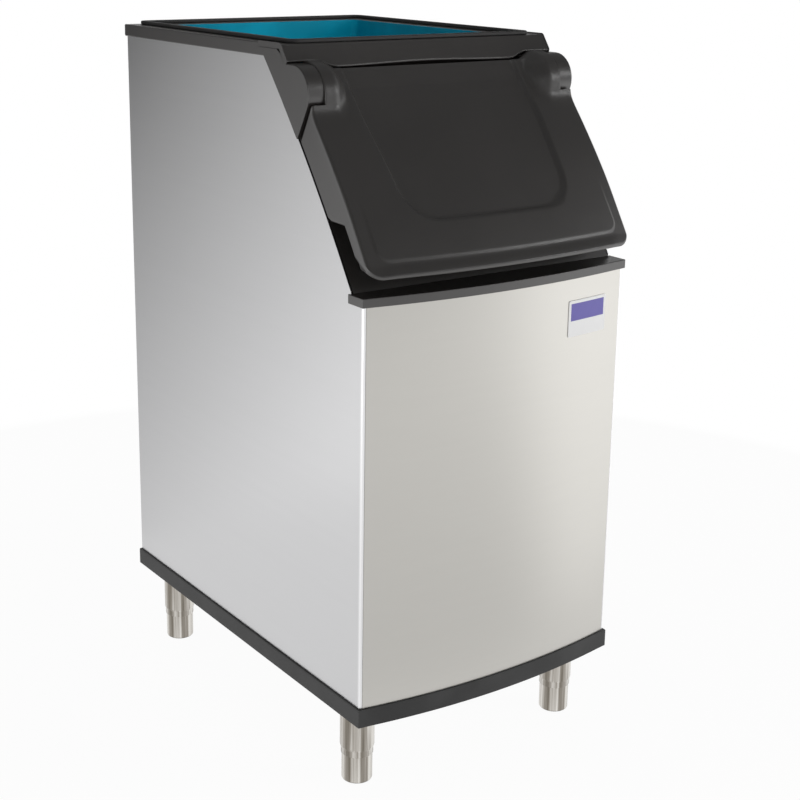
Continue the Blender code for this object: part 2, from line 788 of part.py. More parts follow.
def door_shell():
    """The moulded outer skin: face, recessed panel, hinge barrels, side skirts and lip."""
    bm = bmesh.new()
    bm = prism(door_side_outline(), "X", -door_half, door_half, bm)
    bends = [door_half - door_corner * (1 - sin(a)) for a in steps(0, pi / 2, arc_steps)[:-1]]
    slice_mesh(bm, "X", steps(-door_half, door_half, bow_steps)[1:-1] + bends + [-x for x in bends])
    slice_mesh(bm, "Y", steps(bow_start_s, crease_s, slope_steps)[1:-1])
    for vert in bm.verts:
        beyond = ramp(abs(vert.co.x), door_half - door_corner, door_half)
        vert.co.y -= door_corner * (1 - sqrt(1 - beyond ** 2)) * ramp(vert.co.y, body_end_s, lip_end_s - lip_round)
    on_slope(bm)
    shell = to_object("door_shell", bm, charcoal, door_axis)

    centre = (hinge_s, hinge_n)
    rounding = arc(centre, door_end_radius, pi / 2, pi * 3 / 2, 2 * arc_steps)
    far = -cut_reach
    beyond = [(hinge_s, -frame_depth), (far, -frame_depth), (far, door_depth + cut_reach), (hinge_s, door_depth + cut_reach)]
    end_cut = prism([flat_slope(s, n) for s, n in rounding + beyond], "X", -half_width, half_width)
    cut(shell, to_object("cut_door_end", end_cut, None, door_axis))

    floor_half = recess_half - recess_draft
    recess = box_outline(-floor_half, floor_half, -recess_end_s, recess_end_s - recess_draft, recess_corner - recess_draft)
    top_n = door_depth + recess_depth
    bm = prism(recess, "Z", door_depth - recess_depth, top_n)
    for vert in bm.verts:
        if vert.co.z > door_depth:
            vert.co.x *= 1 + 2 * recess_draft / floor_half
            vert.co.y *= 1 + 2 * recess_draft / recess_end_s
    slice_mesh(bm, "X", steps(-door_half, door_half, bow_steps)[1:-1])
    slice_mesh(bm, "Y", steps(0, recess_end_s, slope_steps))
    on_slope(bm)
    cut(shell, to_object("cut_recess", bm, None, door_axis))

    turn = [(barrel_root_radius + (barrel_radius - barrel_root_radius) * (1 - cos(pi * t)) / 2,
             barrel_root + (barrel_shoulder - barrel_root) * t) for t in steps(0, 1, arc_steps)]
    barrel = [(0, barrel_end), (barrel_radius, barrel_end)] + list(reversed(turn)) + [(0, barrel_root)]
    bush_room = rod(bush_radius + gap, barrel_end - bush_length - gap, barrel_end + cut_reach)
    axis_place = Vector((0, hinge_y, hinge_z))
    for name, side in (("left", -1), ("right", 1)):
        spin = (0, side * pi / 2, 0)
        join(shell, turned("add_barrel_" + name, barrel, None, door_axis, axis_place, spin))
    tangent = ear_tangent()
    spoke = Vector((cos(tangent), sin(tangent)))
    line = Vector((-spoke.y, spoke.x))
    touch = Vector(centre) + spoke * (barrel_radius + door_split)
    high, low = touch + line * cut_reach, touch - line * (2 * cut_reach)
    relief = [tuple(high), tuple(low), (far, low.y), (far, high.y)]
    relief = [flat_slope(s, n) for s, n in relief]
    rise = lip_back_n - notch_n
    notch = [flat_slope(s, n) for s, n in [
        (notch_s - notch_run, notch_n - rise), (notch_s + notch_run, lip_back_n),
        (lip_end_s + cut_reach, lip_back_n), (lip_end_s + cut_reach, notch_n - rise)]]
    both_relief = bmesh.new()
    both_notch = bmesh.new()
    for side in (-1, 1):
        prism(relief, "X", side * barrel_end, side * (half_width + cut_reach), both_relief)
        prism(notch, "X", side * notch_x, side * (half_width + cut_reach), both_notch)
    deep = slope_prism(pocket_outline(0, pocket_top_s), -frame_depth, pocket_depth, True)
    shallow = slope_prism(pocket_outline(0, panel_top_s), -frame_depth, plate_n + panel_thickness + gap)
    cut(shell, to_object("cut_door_pocket", deep, None, door_axis))
    cut(shell, to_object("cut_panel_seat", shallow, None, door_axis))
    for name, side in (("left", -1), ("right", 1)):
        spin = (0, side * pi / 2, 0)
        cut(shell, turned("cut_bush_" + name, bush_room, None, door_axis, axis_place, spin))
    cut(shell, to_object("cut_ear_relief", both_relief, None, door_axis))
    cut(shell, to_object("cut_skirt_notch", both_notch, None, door_axis))


def door_inner_panel():
    plate = slope_prism(pocket_outline(gap, panel_top_s), plate_n, plate_n + panel_thickness)
    panel = to_object("door_inner_panel", plate, white_plastic, door_axis)
    half = opening_half - plug_margin
    plug = box_outline(-half, half, opening_top_s + plug_margin, opening_end_s - plug_margin, opening_corner - plug_margin)
    boss = slope_prism(plug, plate_n - plug_depth, plate_n + panel_thickness / 2)
    join(panel, to_object("add_plug", boss, None, door_axis))


def door_foam():
    low, high = plate_n + panel_thickness + gap, pocket_depth - gap
    block = slope_prism(pocket_outline(gap, pocket_top_s), low, high, True)
    to_object("door_foam", block, foam, door_axis)


def door_seal():
    outer = opening_half + seal_margin + seal_width
    inner = opening_half + seal_margin
    top, low = opening_top_s - seal_margin, opening_end_s + seal_margin
    ring = box_outline(-outer, outer, top - seal_width, low + seal_width, opening_corner + seal_margin)
    seal = to_object("door_seal", slope_prism(ring, gap, plate_n - gap), rubber, door_axis)
    hole = box_outline(-inner, inner, top, low, opening_corner)
    cut(seal, to_object("cut_seal", slope_prism(hole, -frame_depth, door_depth), None, door_axis))


def hinge_parts(name, side):
    axis_place = Vector((0, hinge_y, hinge_z))
    spin = (0, side * pi / 2, 0)
    start = barrel_end - bush_length
    pin_end = barrel_end + ear_face + pin_seat
    turned(name + "_hinge_pin", rod(pin_radius, start, pin_end), zinc, cabinet, axis_place, spin, turn_steps // 2)
    outer, inner = bush_radius, pin_radius + gap
    ring = [(inner, barrel_end), (outer, barrel_end), (outer, start), (inner, start), (inner, barrel_end)]
    turned(name + "_hinge_bush", ring, white_plastic, door_axis, axis_place, spin, turn_steps // 2)


def legs():
    """Four legs: a sleeve with its stud, a screwed foot in the sleeve, a pad, and a nut plate."""
    for name, x, y in leg_places():
        bore = sleeve_radius - sleeve_wall
        stud_top = leg_height + stud_height
        sleeve = [(0, stud_top), (stud_radius, stud_top), (stud_radius, leg_height - gap),
                  (sleeve_radius, leg_height - gap), (sleeve_radius, sleeve_foot_z + sleeve_taper),
                  (bore + gap, sleeve_foot_z), (bore, sleeve_foot_z), (bore, sleeve_bore_top), (0, sleeve_bore_top)]
        turned("leg_" + name, sleeve, stainless, cabinet, Vector((x, y, 0)))

        axis_mark = empty("foot_axis_" + name, (x, y, 0), cabinet)
        low = pad_stand
        rounding = [(foot_radius - foot_round + foot_round * sin(a), low + foot_round - foot_round * cos(a))
                    for a in steps(pi / 2, 0, 3)]
        seat = low + pad_height - pad_stand + gap
        foot = [(0, foot_stem_top), (foot_radius, foot_stem_top)] + rounding
        foot += [(pad_radius + gap, low), (pad_radius + gap, seat), (0, seat)]
        turned("foot_" + name, foot, stainless, axis_mark, Vector((x, y, 0)))
        turned("foot_pad_" + name, rod(pad_radius, 0, pad_height), rubber, axis_mark, Vector((x, y, 0)))

        floor = tray_floor + gap
        square = box_outline(x - plate_half, x + plate_half, y - plate_half, y + plate_half)
        plate = to_object("leg_plate_" + name, prism(square, "Z", floor, floor + plate_thickness), zinc, cabinet)
        hexagon = arc((x, y), nut_radius, 0, 2 * pi, 6)[:-1]
        nut = prism(hexagon, "Z", floor + plate_thickness / 2, floor + plate_thickness + nut_height)
        join(plate, to_object("add_nut_" + name, nut, None, cabinet))
        hole = rod(stud_radius + gap, leg_height - cut_reach, base_top + cut_reach)
        cut(plate, turned("cut_plate_" + name, hole, None, cabinet, Vector((x, y, 0))))


def deflector():
    """The loose baffle inside the door opening, held on the tub by two thumb screws."""
    face = mouth_front_y + liner_wall + gap
    top = trim_top - deflector_top
    outline = [(face, top), (face, top - deflector_fall), (face + deflector_kick, top - deflector_drop),
               (face + deflector_kick + deflector_sheet, top - deflector_drop),
               (face + deflector_sheet, top - deflector_fall), (face + deflector_sheet, top)]
    baffle = to_object("ice_deflector", prism(outline, "X", -deflector_half, deflector_half), white_plastic, cabinet)
    cut(baffle, thumb_cutter)
    for name, side in (("left", -1), ("right", 1)):
        head_face = face + deflector_sheet + gap
        height = trim_top - thumb_z
        knob = [(0, thumb_height), (thumb_radius, thumb_height), (thumb_radius, 0), (thumb_shank, 0),
                (thumb_shank, -thumb_reach), (0, -thumb_reach)]
        place_at = Vector((side * thumb_x, head_face, height))
        turned(name + "_thumb_screw", knob, zinc, cabinet, place_at, along_y, turn_steps // 2)


def drain():
    """Drain fitting through the rear wall, its lock nut outside and the strainer in its mouth."""
    inner_face = liner_rear - liner_wall
    place_at = Vector((0, 0, drain_z))
    mouth = inner_face - gap - drain_flange_thickness
    outlet = cabinet_depth - gap
    body = [(drain_bore, outlet), (drain_radius, outlet), (drain_radius, inner_face - gap),
            (drain_flange, inner_face - gap), (drain_flange, mouth), (drain_bore, mouth), (drain_bore, outlet)]
    turned("drain_fitting", body, white_plastic, cabinet, place_at, along_y)

    nut_face = steel_rear - sheet
    hexagon = arc((0, place_at.z), drain_nut_radius, 0, 2 * pi, 6)[:-1]
    nut = to_object("drain_nut", prism(hexagon, "Y", nut_face, outlet), white_plastic, cabinet)
    cut(nut, drain_cutter)

    disc = prism(arc((0, place_at.z), drain_bore - gap, 0, 2 * pi, turn_steps)[:-1], "Y", mouth, mouth + strainer_thickness)
    strainer = to_object("drain_strainer", disc, zinc, cabinet)
    holes = bmesh.new()
    for angle in steps(0, 2 * pi, 6)[:-1]:
        centre = (strainer_ring * cos(angle), place_at.z + strainer_ring * sin(angle))
        prism(arc(centre, strainer_hole, 0, 2 * pi, 8)[:-1], "Y", mouth - cut_reach, mouth + cut_reach, holes)
    cut(strainer, to_object("cut_strainer", holes, None, cabinet))


def opening_hole():
    """The rounded door opening, cut square to the slope."""
    outline = box_outline(-opening_half, opening_half, opening_top_s, opening_end_s, opening_corner)
    bm = prism(outline, "Z", -cut_reach, cut_reach)
    on_slope(bm, curved=False)
    return to_object("cut_opening", bm, None, cabinet)


def thumb_holes():
    holes = bmesh.new()
    face = mouth_front_y
    for side in (-1, 1):
        ring = arc((side * thumb_x, trim_top - thumb_z), thumb_shank + gap, 0, 2 * pi, turn_steps // 2)[:-1]
        prism(ring, "Y", face - cut_reach / 2, face + cut_reach / 2, holes)
    return to_object("cut_thumb", holes, None, cabinet)


def drain_hole():
    hole = rod(drain_radius + gap, liner_rear - cut_reach, cabinet_depth + cut_reach)
    return turned("cut_drain", hole, None, cabinet, Vector((0, 0, drain_z)), along_y)


opening_cutter = opening_hole()
thumb_cutter = thumb_holes()
drain_cutter = drain_hole()

base_tray()
slope_cut = slope_cutter()
side_panel("left_side_panel", -1, slope_cut)
side_panel("right_side_panel", 1, slope_cut)
front_panel()
rear_panel()
liner()
foam_jacket()
top_trim("left_top_trim", -1)
top_trim("right_top_trim", 1)
rear_trim()
header()
rim_gasket()
sill_band()
door_frame()
door_shell()
door_inner_panel()
door_foam()
door_seal()
hinge_parts("left", -1)
hinge_parts("right", 1)
legs()
deflector()
drain()

# centre the bin: its deepest reach is from the door lip's nose to the rear of the trims
lip_front = min(shaped_slope(0, s, n).y for s, n in door_side_outline())
cabinet.location.y = -(cabinet_depth + lip_front) / 2
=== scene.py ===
from math import acos, atan2, cos, hypot, pi, radians, sin, sqrt, tan

import bmesh
import bpy
import numpy as np
from mathutils import Matrix, Vector


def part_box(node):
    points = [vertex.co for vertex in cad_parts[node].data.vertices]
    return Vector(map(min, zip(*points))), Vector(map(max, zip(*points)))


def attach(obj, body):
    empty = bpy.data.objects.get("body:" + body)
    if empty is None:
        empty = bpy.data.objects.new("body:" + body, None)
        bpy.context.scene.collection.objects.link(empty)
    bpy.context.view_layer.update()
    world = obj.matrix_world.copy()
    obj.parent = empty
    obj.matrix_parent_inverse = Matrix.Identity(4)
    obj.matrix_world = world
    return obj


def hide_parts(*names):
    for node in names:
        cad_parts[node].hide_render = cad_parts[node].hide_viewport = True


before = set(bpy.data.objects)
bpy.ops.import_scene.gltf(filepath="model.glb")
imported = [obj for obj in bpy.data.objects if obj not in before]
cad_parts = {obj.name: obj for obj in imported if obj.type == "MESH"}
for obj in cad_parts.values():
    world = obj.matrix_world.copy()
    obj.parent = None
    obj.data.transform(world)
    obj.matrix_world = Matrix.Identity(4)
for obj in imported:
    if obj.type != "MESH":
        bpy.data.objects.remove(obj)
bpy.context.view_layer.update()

# Ice storage bin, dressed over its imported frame. Cabinet places below are measured like the frame's:
# depth 0 at the steel's front corners, moved by yShift. The door is drawn flat as (x, s, n):
# s runs down the sloped front from its top corner, n stands out from it.
print("frame loaded:", len(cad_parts), "nodes")

cabinet = {"halfWidth": 0.2795, "steelHalf": 0.2755, "depth": 0.818, "frontBow": 0.026, "overhang": 0.004,
           "trimTop": 1.263, "steelTop": 1.241}
slope = {"topY": 0.296, "footY": 0.0335, "drop": 0.3525, "crown": 0.0085, "crownFoot": 0.010, "clearS": 0.126,
         "doorCrown": 0.008, "crownS": 0.265, "crownHalf": 0.160, "doorBow": 0.0245, "bowS": (0.140, 0.430)}
hinge = {"s": 0.099, "n": 0.046, "barrel": 0.0445, "barrelEnd": 0.249}
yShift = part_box("base_tray")[1].y - cabinet["depth"]

slopeRun = Vector((slope["footY"] - slope["topY"], -slope["drop"]))
slopeLength = slopeRun.length
down = slopeRun.normalized()
out = Vector((down.y, -down.x))


def ramp(value, low, high):
    return min(1.0, max(0.0, (value - low) / (high - low)))


def ease(value, low, high):
    t = ramp(value, low, high)
    return t * t * (3 - 2 * t)


def hump(value, middle, half):
    return max(0.0, 1 - ((value - middle) / half) ** 2)


def softMax(a, b, width):
    return max(a, b) + max(0.0, width - abs(a - b)) ** 2 / (4 * width)


def softMin(a, b, width):
    return min(a, b) - max(0.0, width - abs(a - b)) ** 2 / (4 * width)


def steps(low, high, count):
    return [low + (high - low) * i / count for i in range(count + 1)]


def mirrored(right):
    # places from 0 outwards, with the same on the left
    return [-x for x in reversed(right[1:])] + right


def along(corners, count):
    # count + 1 evenly spaced points along a polyline
    lengths = [hypot(b[0] - a[0], b[1] - a[1]) for a, b in zip(corners, corners[1:])]
    total, found = sum(lengths), []
    for target in steps(0, total, count):
        for (a, b), length in zip(zip(corners, corners[1:]), lengths):
            if target <= length + 1e-9:
                share = target / length if length else 0
                found.append((a[0] + (b[0] - a[0]) * share, a[1] + (b[1] - a[1]) * share))
                break
            target -= length
        else:
            found.append(corners[-1])
    return found


def rounded(corners, turns=8):
    # closed outline from (u, v, radius) corners
    outline = []
    for i, (u, v, radius) in enumerate(corners):
        here = Vector((u, v))
        if radius == 0:
            outline.append((u, v))
            continue
        before = (Vector(corners[i - 1][:2]) - here).normalized()
        after = (Vector(corners[(i + 1) % len(corners)][:2]) - here).normalized()
        half = acos(max(-1, min(1, before.dot(after)))) / 2
        centre = here + (before + after).normalized() * (radius / sin(half))
        start = here + before * (radius / tan(half)) - centre
        end = here + after * (radius / tan(half)) - centre
        turn = atan2(start.x * end.y - start.y * end.x, start.dot(end))
        for angle in steps(0, turn, turns):
            outline.append((centre.x + start.x * cos(angle) - start.y * sin(angle),
                            centre.y + start.x * sin(angle) + start.y * cos(angle)))
    return outline


def flatSlope(s, n):
    return (slope["topY"] + down.x * s + out.x * n + yShift, cabinet["steelTop"] + down.y * s + out.y * n)


def edgeCrown(s):
    return slope["crown"] * hump(s, slopeLength / 2, slopeLength / 2)


def shapedSlope(x, s, n):
    # crowned and bowed place of a door point; the barrels round the hinge keep their true circle
    outer = ramp(n, slope["crownFoot"], door["depth"])
    inner = (1 - outer) * edgeCrown(s) * ease(s, hinge["s"], slope["clearS"])
    y, z = flatSlope(s, n + inner + outer * slope["doorCrown"] * hump(s, slope["crownS"], slope["crownHalf"]))
    lift = ramp(n, slope["crownFoot"], door["lipBack"]) * ramp(s, *slope["bowS"])
    return Vector((x, y - slope["doorBow"] * hump(x, 0, door["half"]) * lift, z))


def frontBulge(x):
    return cabinet["frontBow"] * hump(x, 0, cabinet["steelHalf"])


def tint(red, green, blue):
    # a colour as it is read off a screen, made linear
    shares = (red / 255, green / 255, blue / 255)
    return (*(c / 12.92 if c <= 0.04 else ((c + 0.055) / 1.055) ** 2.4 for c in shares), 1)


class Wire:  # one shader socket that can take part in sums
    def __init__(self, finish, socket):
        self.finish, self.socket = finish, socket

    def sum(self, operation, *terms):
        return self.finish.node("ShaderNodeMath", {"operation": operation}, dict(enumerate(terms)))

    def __add__(self, other):
        return self.sum("ADD", self, other)

    def __radd__(self, other):
        return self.sum("ADD", other, self)

    def __sub__(self, other):
        return self.sum("SUBTRACT", self, other)

    def __rsub__(self, other):
        return self.sum("SUBTRACT", other, self)

    def __mul__(self, other):
        return self.sum("MULTIPLY", self, other)

    def __rmul__(self, other):
        return self.sum("MULTIPLY", other, self)

    def between(self, low, high):
        # 0 below low, 1 above high, eased
        return self.finish.node("ShaderNodeMapRange", {"interpolation_type": "SMOOTHSTEP"},
                                {"Value": self, "From Min": low, "From Max": high})


class Finish:  # one material, its shader and the nodes that vary it
    def __init__(self, name, slot=None, **fixed):
        self.material = bpy.data.materials.new(name)
        self.material.use_nodes = True
        self.slot = slot
        self.tree = self.material.node_tree
        self.shader = self.tree.nodes["Principled BSDF"]
        for socket, value in fixed.items():
            self.shader.inputs[socket.replace("_", " ")].default_value = value

    def node(self, kind, settings, sockets, output=0):
        made = self.tree.nodes.new(kind)
        for key, value in settings.items():
            if key == "stops":
                bar = made.color_ramp
                while len(bar.elements) < len(value):
                    bar.elements.new(0.5)
                for element, (position, colour) in zip(bar.elements, value):
                    element.position, element.color = position, colour
            else:
                setattr(made, key, value)
        for key, value in sockets.items():
            if isinstance(value, Wire):
                self.tree.links.new(value.socket, made.inputs[key])
            else:
                made.inputs[key].default_value = value
        return Wire(self, made.outputs[output])

    def place(self, scale=(1, 1, 1), turn=(0, 0, 0), shift=(0, 0, 0)):
        here = self.node("ShaderNodeTexCoord", {}, {}, "Object")
        sockets = {"Vector": here, "Scale": scale, "Rotation": turn, "Location": shift}
        return self.node("ShaderNodeMapping", {}, sockets)

    def axis(self, name):
        here = self.node("ShaderNodeTexCoord", {}, {}, "Object")
        return self.node("ShaderNodeSeparateXYZ", {}, {"Vector": here}, name)

    def noise(self, scale, detail=2, rough=0.5, stretch=(1, 1, 1), turn=(0, 0, 0)):
        return self.node("ShaderNodeTexNoise", {}, {"Vector": self.place(stretch, turn), "Scale": scale,
                                                    "Detail": detail, "Roughness": rough})

    def mix(self, share, first, second):
        return self.node("ShaderNodeMix", {"data_type": "RGBA"}, {"Factor": share, 6: first, 7: second}, 2)

    def vary(self, **sockets):
        for socket, value in sockets.items():
            self.tree.links.new(value.socket, self.shader.inputs[socket.replace("_", " ")])
        return self

    def bump(self, height, strength, distance):
        sockets = {"Strength": strength, "Distance": distance, "Height": height}
        return self.vary(Normal=self.node("ShaderNodeBump", {}, sockets))


def mouldedPlastic(name, slot, colour, roughness, grain=0.00035, mottle=0.12, grainSize=0.0011, gloss=0.5):
    # fine spark-eroded grain, faint cloudiness in colour and in gloss
    made = Finish(name, slot, IOR=1.53, Specular_IOR_Level=gloss)
    cloud = made.noise(9, 3)
    pebble = made.noise(1 / grainSize, 2, 0.6)
    dark = tuple(c * (1 - mottle) for c in colour[:3]) + (1,)
    light = tuple(c * (1 + mottle) for c in colour[:3]) + (1,)
    made.vary(Base_Color=made.mix(cloud.between(0.35, 0.65), dark, light),
              Roughness=roughness - 0.05 + 0.06 * cloud + 0.05 * pebble)
    return made.bump(pebble, 0.30, grain)


charcoal = mouldedPlastic("charcoalPlastic", "charcoal_plastic", tint(37, 34, 32), 0.36, mottle=0.05, gloss=1.0)
trayPlastic = mouldedPlastic("trayPlastic", "base_plastic", tint(58, 58, 58), 0.52, mottle=0.2, gloss=0.3)
tealPlastic = mouldedPlastic("tealPlastic", "liner_blue", tint(0, 150, 180), 0.50, 0.0006, 0.12, 0.0018, 0.10)
whitePlastic = mouldedPlastic("whitePlastic", "white_plastic", tint(222, 222, 219), 0.40, mottle=0.025)
blackRubber = mouldedPlastic("blackRubber", "black_rubber", tint(33, 32, 32), 0.60)


def brushedSteel(name, slot, colour, roughness, stretch, lines=700, depth=0.00004, streaks=0.05, paintedHighlightY=None):
    # grain lines run along the axis that stretch makes short; where y is below the given depth the base colour is
    # lightened, a painted highlight on the bent front edge
    made = Finish(name, slot, Metallic=1.0)
    grain = made.noise(lines, 3, 0.7, stretch)
    band = made.noise(lines / 9, 2, 0.5, stretch)
    cloud = made.noise(3.1, 2)
    dark = tuple(c * (1 - streaks) for c in colour[:3]) + (1,)
    brushed = made.mix(0.55 * grain + 0.45 * band, dark, colour)
    if paintedHighlightY is not None:
        # painted highlight: the base colour near the front edge mixed to almost white
        brushed = made.mix(made.axis("Y").between(paintedHighlightY - 0.0035, paintedHighlightY + 0.0020), tint(236, 236, 237), brushed)
    made.vary(Base_Color=brushed, Roughness=roughness + 0.07 * grain - 0.04 * cloud)
    return made.bump(grain, 0.25, depth)


def reflectionPaintedSteel():
    # turned tube: painted reflections as upright light and dark streaks round its own axis, and painted shade as a
    # dark lower rim where the reflected contact shadow would be
    made = Finish("legSteel", "stainless", Metallic=1.0)
    around = made.node("ShaderNodeAttribute", {"attribute_name": "around"}, {}, "Vector")
    place = made.node("ShaderNodeMapping", {}, {"Vector": around, "Scale": (1, 1, 0.6)})
    paintedReflection = made.node("ShaderNodeTexNoise", {}, {"Vector": place, "Scale": 1.5, "Detail": 5.0, "Roughness": 0.62})
    # painted reflections: the streak colours from dark to light
    stops = [(0.34, tint(118, 112, 102)), (0.44, tint(160, 154, 146)),
             (0.53, tint(226, 223, 217)), (0.62, tint(172, 167, 159))]
    shade = made.node("ShaderNodeValToRGB", {"stops": stops}, {"Fac": paintedReflection})
    # painted shade: the lowest few millimetres of each foot darkened
    clearOfRimShade = made.axis("Z").between(0.0012, 0.0048)
    made.vary(Base_Color=made.mix(clearOfRimShade, tint(58, 56, 53), shade), Roughness=0.24 + 0.1 * paintedReflection)
    return made.bump(paintedReflection, 0.1, 0.00004)


# the side panels carry a painted highlight along their bent front edge
sideSteel = brushedSteel("sideSteel", "stainless", tint(206, 206, 207), 0.30, (1, 0.02, 1), paintedHighlightY=yShift + 0.0050)
frontSteel = brushedSteel("frontSteel", "stainless", tint(201, 199, 194), 0.34, (0.02, 1, 1))
legSteel = reflectionPaintedSteel()
zincSheet = brushedSteel("zincSheet", "zinc_plate", tint(190, 192, 196), 0.42, (1, 1, 1), 60, 0.00002, 0.14)
zincFastener = brushedSteel("zincFastener", "zinc_plate", tint(196, 197, 198), 0.34, (1, 1, 1), 300)


def foamFinish():
    made = Finish("foamedFill", "insulation", Roughness=0.9)
    cells = made.node("ShaderNodeTexVoronoi", {"feature": "F1"}, {"Vector": made.place(), "Scale": 420.0})
    cloud = made.noise(14, 3)
    made.vary(Base_Color=made.mix(0.5 * cells + 0.5 * cloud, tint(222, 205, 150), tint(242, 231, 190)))
    return made.bump(cells, 0.5, 0.0008)


foamFill = foamFinish()
print("finishes made:", len(bpy.data.materials))


def makePiece(name, bm, finish, body, stands=(), angle=32, outwards=True):
    # turns a bmesh into a finished piece that rides on its body
    if outwards:
        bmesh.ops.recalc_face_normals(bm, faces=bm.faces[:])
    mesh = bpy.data.meshes.new(name)
    bm.to_mesh(mesh)
    bm.free()
    mesh.materials.append(finish.material)
    mesh.polygons.foreach_set("use_smooth", [True] * len(mesh.polygons))
    mesh.set_sharp_from_angle(angle=radians(angle))
    piece = bpy.data.objects.new(name, mesh)
    bpy.context.scene.collection.objects.link(piece)
    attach(piece, body)
    if stands:
        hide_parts(*stands)
    return piece


def loft(sections):
    # a grid whose rows are laid on the sections, one row to each, closed at both ends
    rows, columns = len(sections) - 1, len(sections[0]) - 1
    bm = bmesh.new()
    bmesh.ops.create_grid(bm, x_segments=columns, y_segments=rows, size=1)
    for vert in bm.verts:
        column = round((vert.co.x + 1) / 2 * columns)
        row = round((vert.co.y + 1) / 2 * rows)
        vert.co = sections[row][column]
    bmesh.ops.remove_doubles(bm, verts=bm.verts[:], dist=1e-6)
    bmesh.ops.holes_fill(bm, edges=[e for e in bm.edges if e.is_boundary], sides=0)
    bmesh.ops.dissolve_degenerate(bm, dist=1e-7, edges=bm.edges[:])
    return bm


def plate(outline, axis, low, high):
    # a flat outline pushed from low to high along one axis
    bm = bmesh.new()
    put = {"X": lambda u, v: (low, u, v), "Y": lambda u, v: (u, low, v), "Z": lambda u, v: (u, v, low)}[axis]
    face = bm.faces.new([bm.verts.new(put(u, v)) for u, v in outline])
    pushed = bmesh.ops.extrude_face_region(bm, geom=[face])["geom"]
    bmesh.ops.translate(bm, vec=[(high - low) * (name == axis) for name in "XYZ"],
                        verts=[v for v in pushed if isinstance(v, bmesh.types.BMVert)])
    return bm


def turnedShape(profile, x, y, turns=56):
    # (radius, height) points spun once round an upright axis
    bm = bmesh.new()
    line = [bm.verts.new((x + r, y, z)) for r, z in profile]
    edges = [bm.edges.new(pair) for pair in zip(line, line[1:])]
    bmesh.ops.spin(bm, geom=line + edges, cent=(x, y, 0), axis=(0, 0, 1), angle=2 * pi, steps=turns, use_merge=True)
    bmesh.ops.remove_doubles(bm, verts=bm.verts[:], dist=1e-6)
    # the place round each leg's axis, which the painted reflections of the leg steel read
    around = bm.verts.layers.float_vector.new("around")
    for vert in bm.verts:
        vert[around] = ((vert.co.x - x) / leg["sleeve"], (vert.co.y - y) / leg["sleeve"], vert.co.z)
    return bm


def softened(node, finish, body, width=0.0, segments=3, angle=32, limit=35, shape=None):
    # a merged copy of a CAD node, reshaped if asked and with its edges eased, which then stands for that node
    bm = bmesh.new()
    bm.from_mesh(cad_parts[node].data)
    bmesh.ops.remove_doubles(bm, verts=bm.verts[:], dist=2e-5)
    bmesh.ops.dissolve_limit(bm, angle_limit=radians(0.15), verts=bm.verts[:], edges=bm.edges[:])
    if shape:
        shape(bm)
    if width:
        sharp = [e for e in bm.edges if e.is_manifold and e.calc_face_angle(0) > radians(limit)]
        bmesh.ops.bevel(bm, geom=sharp, offset=width, offset_type="OFFSET", affect="EDGES", segments=segments,
                        profile=0.5, clamp_overlap=True, material=-1)
    words = node.split("_")
    name = words[0] + "".join(word.capitalize() for word in words[1:])
    piece = makePiece(name, bm, finish, body, [node], angle, outwards=False)
    # large flat faces keep their shading where they run into an eased edge
    even = piece.modifiers.new("evenShading", "WEIGHTED_NORMAL")
    even.keep_sharp, even.weight = True, 85
    return piece


# sloped door, in metres and degrees; recessTop and recessFoot are half widths, pairs of places are (s, n) or a span
door = {"half": 0.276, "seat": 0.0015, "depth": 0.064, "endRadius": 0.036, "endBlend": 0.004,
        "bodyEnd": 0.4055, "lipBack": 0.038, "lipFoot": 0.4250, "lipSpan": (0.225, 0.262), "lipStart": 0.4195,
        "noseLevel": 0.0645, "noseRound": 0.005, "noseTurn": 136, "faceStart": 0.1745, "faceEnd": 0.4402, "rows": 112,
        "corner": 0.027, "cornerS": (0.350, 0.438), "sideRound": 0.0055,
        "hub": 66, "hubTurn": 255, "barrelRise": (0.180, 0.229), "blend": 0.038, "blendRise": 0.020,
        "barrelEdge": 0.0022, "edgeTurn": (26, 44),
        "recessTop": 0.190, "recessFoot": 0.171, "recessStart": 0.10, "recessEnd": 0.3575, "recessCorner": 0.060,
        "recessDepth": 0.0065, "recessRamp": 0.0075, "recessOut": 0.35, "recessBend": 1.7,
        "creaseS": 0.4165, "creaseX": 0.250, "creaseRound": 0.020, "creaseStep": -0.0014,
        "creaseWidth": (-0.0015, 0.0035), "creaseFade": (0.30, 0.40),
        # beside the ears: a straight cut with a rounded upper edge, which is looked for at reliefX between two angles
        "reliefFoot": (0.169, 0.0015), "reliefHead": (0.1419, 0.064), "reliefRound": 0.0026, "reliefBends": 10,
        "reliefTurn": (14, 60), "reliefX": 0.26,
        # the back: a pocket for the inner panel, and a finger notch cut into each side
        "pocketFloor": 0.0104, "pocketHead": 0.1255, "pocketEnd": 0.402, "pocketX": 0.2415, "pocketSide": 0.2725,
        "cornerX": 0.2455, "cornerHead": 0.1735,
        "notchX": 0.245, "notchHead": 0.342, "notchFoot": (0.3155, 0.0037), "notchEdge": 0.3138}


def boxReach(x, s, half, foot, radius):
    # how far outside a round-cornered box with an open top a point lies
    qx, qs = abs(x) - (half - radius), s - (foot - radius)
    return hypot(max(qx, 0), max(qs, 0)) + min(max(qx, qs), 0) - radius


